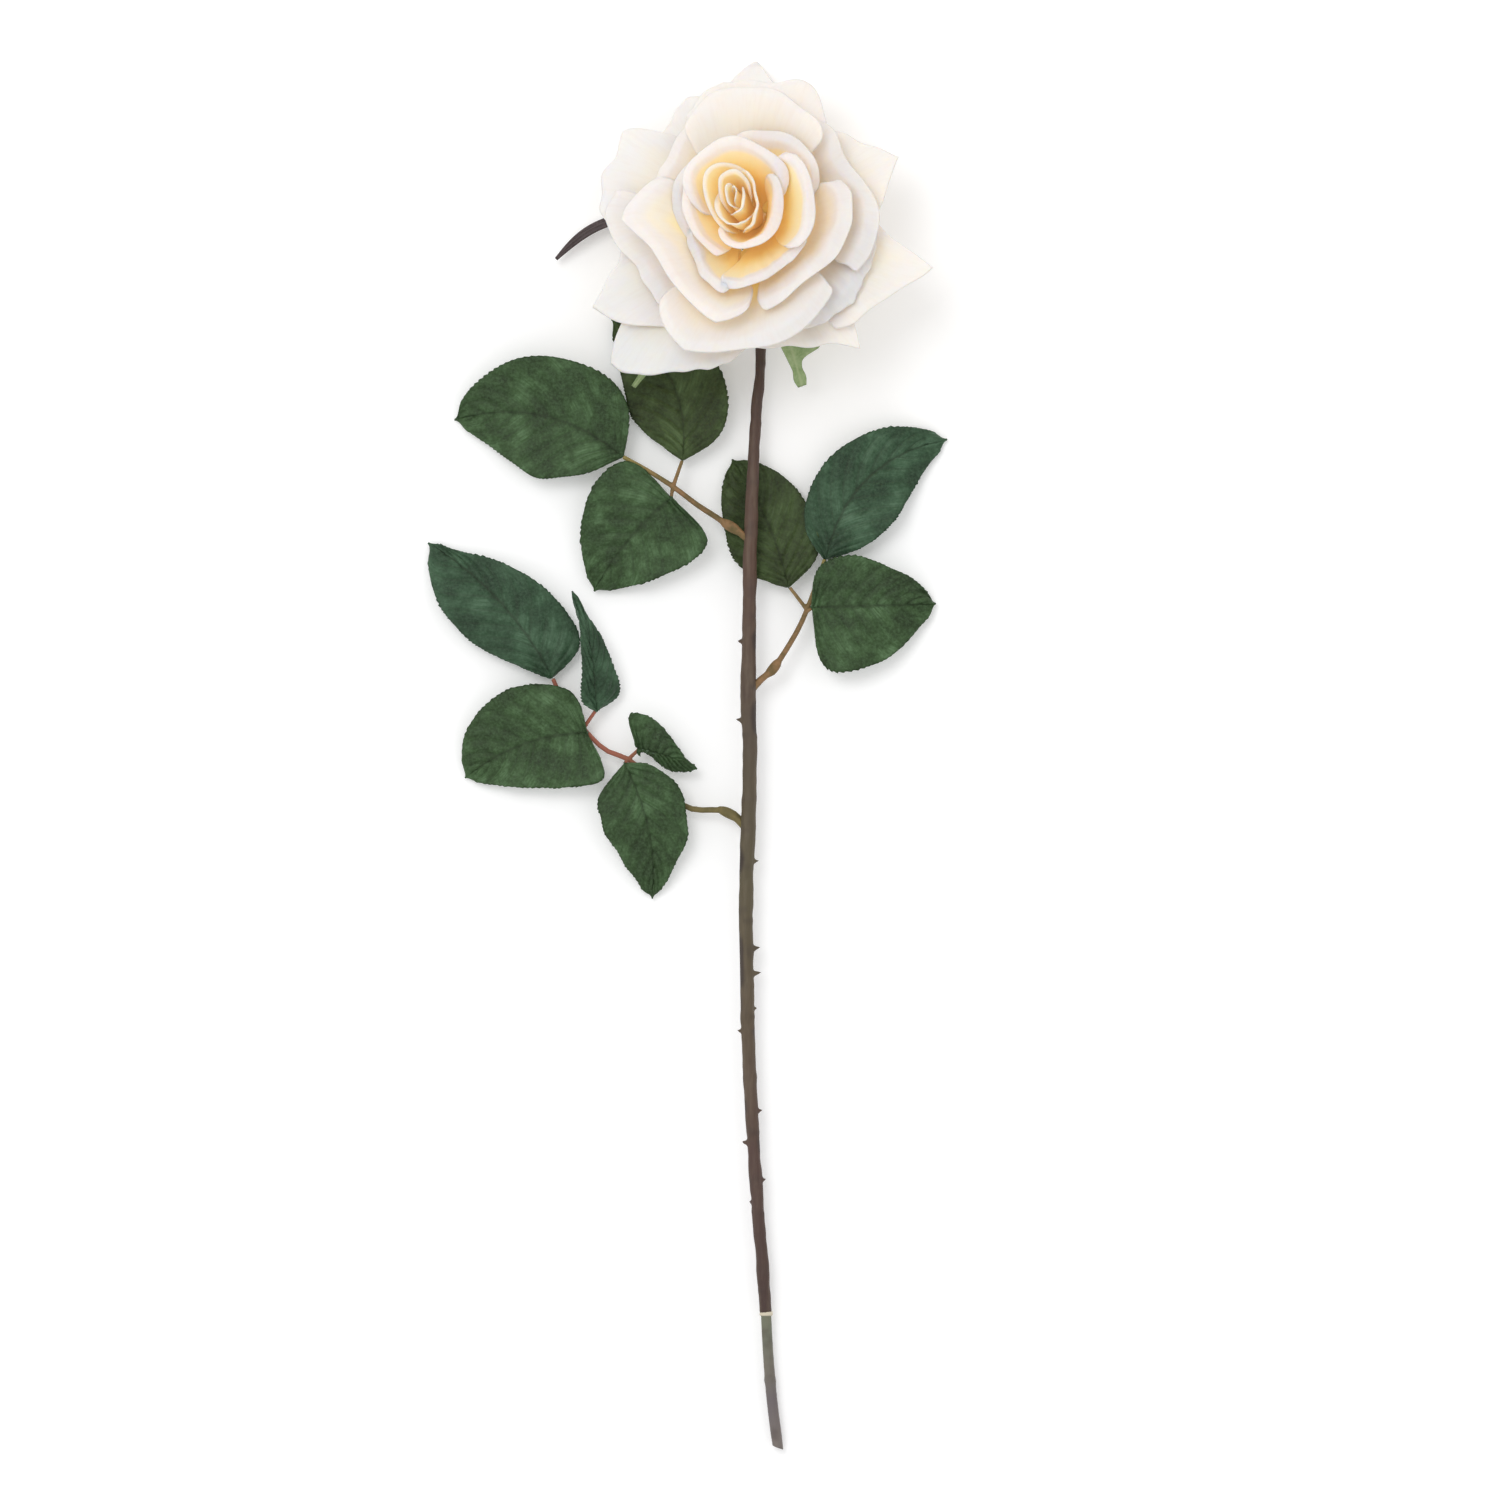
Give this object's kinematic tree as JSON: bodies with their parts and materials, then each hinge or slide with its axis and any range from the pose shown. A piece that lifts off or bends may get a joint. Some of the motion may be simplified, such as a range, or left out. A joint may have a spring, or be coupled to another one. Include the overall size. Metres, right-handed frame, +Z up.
{
  "type": "cut rose",
  "caption": "Long-stemmed open rose lying on its side: cream nested petals warming to peach, serrated dark green compound leaves, brown thorny stem with a bare end.",
  "frame": {"origin": "centre of the bounding box, on the surface the rose lies on", "axes": "+Y from the cut end to the bloom, +Z up from the surface"},
  "size_m": [0.2074, 0.551, 0.0801],
  "materials": {
    "petal": "soft matt cream, peach towards the heart",
    "hip": "matt green",
    "petiole": "matt olive brown",
    "leaf": "dark green, slightly waxy",
    "sepal": "pale sage green",
    "bract": "dark purple brown",
    "stem": "dark brown bark, satin",
    "stem_end": "grey green to taupe, satin"
  },
  "bodies": {
    "root": {"petal_01": "petal", "petal_02": "petal", "petal_03": "petal", "petal_04": "petal", "petal_05": "petal", "petal_06": "petal", "petal_07": "petal", "petal_08": "petal", "petal_09": "petal", "petal_10": "petal", "petal_11": "petal", "petal_12": "petal", "petal_13": "petal", "petal_14": "petal", "petal_15": "petal", "petal_16": "petal", "petal_17": "petal", "petal_18": "petal", "petal_19": "petal", "petal_20": "petal", "petal_21": "petal", "petal_22": "petal", "petal_23": "petal", "petal_24": "petal", "petal_25": "petal", "petal_26": "petal", "petal_27": "petal", "petal_28": "petal", "petal_29": "petal", "petal_30": "petal", "petal_31": "petal", "petal_32": "petal", "hip": "hip", "rachis_a": "petiole", "rachis_b": "petiole", "rachis_c": "petiole", "leaflet_a1": "leaf", "leaflet_a2": "leaf", "leaflet_a3": "leaf", "leaflet_b1": "leaf", "leaflet_b2": "leaf", "leaflet_b3": "leaf", "leaflet_c1": "leaf", "leaflet_c2": "leaf", "leaflet_c3": "leaf", "leaflet_c4": "leaf", "leaflet_c5": "leaf", "sepal_1": "sepal", "sepal_2": "sepal", "sepal_3": "sepal", "sepal_4": "sepal", "sepal_5": "sepal", "bract": "bract", "stem": "stem", "stem_end": "stem_end"}
  },
  "joints": []
}
